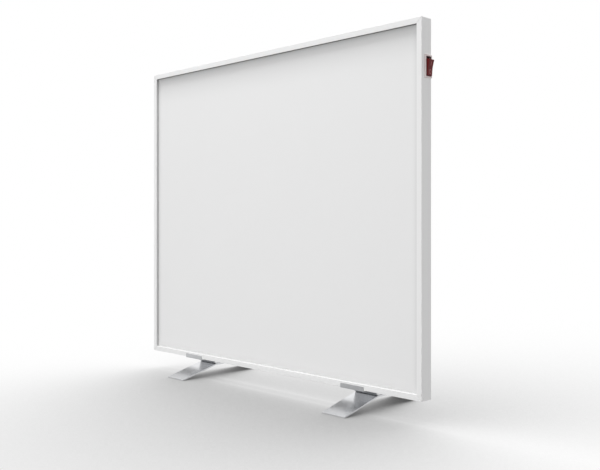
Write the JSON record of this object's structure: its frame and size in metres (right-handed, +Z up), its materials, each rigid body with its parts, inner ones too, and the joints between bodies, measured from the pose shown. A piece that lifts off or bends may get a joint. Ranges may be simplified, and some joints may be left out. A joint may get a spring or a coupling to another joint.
{
  "type": "infrared panel heater",
  "caption": "Thin white infrared panel heater in a recessed frame, with a rocker switch on its right edge, standing on low bent sheet-metal feet",
  "frame": {"origin": "on the floor, under the middle of the whole heater's outer box", "axes": "+X to the right as seen from the front, the heating face looks towards -Y, +Z up"},
  "size_m": [0.607, 0.163, 0.5315],
  "materials": {
    "white_paint": "white powder coat, satin, very fine texture",
    "zinc_steel": "zinc-plated steel",
    "mica": "pressed insulating sheet",
    "carbon": "printed carbon tracks",
    "copper": "tinned copper strip",
    "foil": "bright foil",
    "wool": "pressed fibre board",
    "white_plastic": "white moulded plastic",
    "red_plastic": "dark red moulded plastic",
    "lamp_glass": "small neon lamp, unlit",
    "brass": "bare brass",
    "black_plastic": "black moulded plastic",
    "lead_brown": "brown wire covering",
    "lead_blue": "blue wire covering",
    "lead_green": "green wire covering",
    "bare_aluminium": "bare mill-finish sheet"
  },
  "bodies": {
    "heater": {"frame_rail_top": "white_paint", "frame_rail_bottom": "white_paint", "frame_rail_left": "white_paint", "frame_rail_right": "white_paint", "corner_key_bottom_left": "zinc_steel", "corner_key_bottom_right": "zinc_steel", "corner_key_top_left": "zinc_steel", "corner_key_top_right": "zinc_steel", "front_panel": "white_paint", "front_insulating_sheet": "mica", "heating_film": "carbon", "busbar_left": "copper", "busbar_right": "copper", "rear_insulating_sheet": "mica", "reflector_foil": "foil", "insulation_board": "wool", "thermostat": "zinc_steel", "rear_cover": "white_paint", "cover_screw_1": "zinc_steel", "cover_screw_2": "zinc_steel", "cover_screw_3": "zinc_steel", "cover_screw_4": "zinc_steel", "cover_screw_5": "zinc_steel", "cover_screw_6": "zinc_steel", "switch_body": "white_plastic", "switch_blade_common": "brass", "switch_blade_load": "brass", "switch_blade_lamp": "brass", "junction_box": "white_plastic", "junction_box_lid": "white_plastic", "lid_screw_1": "zinc_steel", "lid_screw_2": "zinc_steel", "terminal_block": "black_plastic", "gland_body": "white_plastic", "gland_nut": "white_plastic", "gland_lock_nut": "white_plastic", "earth_stud": "brass", "earth_nut": "brass", "lead_live": "lead_brown", "lead_neutral": "lead_blue", "lead_switched": "lead_brown", "lead_heater": "lead_brown", "lead_earth": "lead_green", "foot_leaf_left": "bare_aluminium", "foot_clip_left": "bare_aluminium", "foot_screw_left_1": "zinc_steel", "foot_screw_left_2": "zinc_steel", "foot_rivet_left_1": "bare_aluminium", "foot_rivet_left_2": "bare_aluminium", "foot_leaf_right": "bare_aluminium", "foot_clip_right": "bare_aluminium", "foot_screw_right_1": "zinc_steel", "foot_screw_right_2": "zinc_steel", "foot_rivet_right_1": "bare_aluminium", "foot_rivet_right_2": "bare_aluminium"},
    "rocker": {"switch_rocker": "red_plastic", "switch_lamp": "lamp_glass", "switch_plunger": "brass", "switch_spring": "zinc_steel"},
    "contact": {"switch_contact": "brass"}
  },
  "joints": [
    {"name": "rocker_tilt", "type": "hinge", "parent": "heater", "child": "rocker", "pos_m": [0.28901, -0.0286, 0.4681], "axis": [0, -1, 0], "range_deg": [0, 19]},
    {"name": "contact_tilt", "type": "hinge", "parent": "heater", "child": "contact", "pos_m": [0.28041, -0.0286, 0.4681], "axis": [0, -1, 0], "range_deg": [-12, 0]}
  ],
  "couplings": [
    {"joint": "contact_tilt", "follows": "rocker_tilt", "ratio": -0.6315}
  ]
}
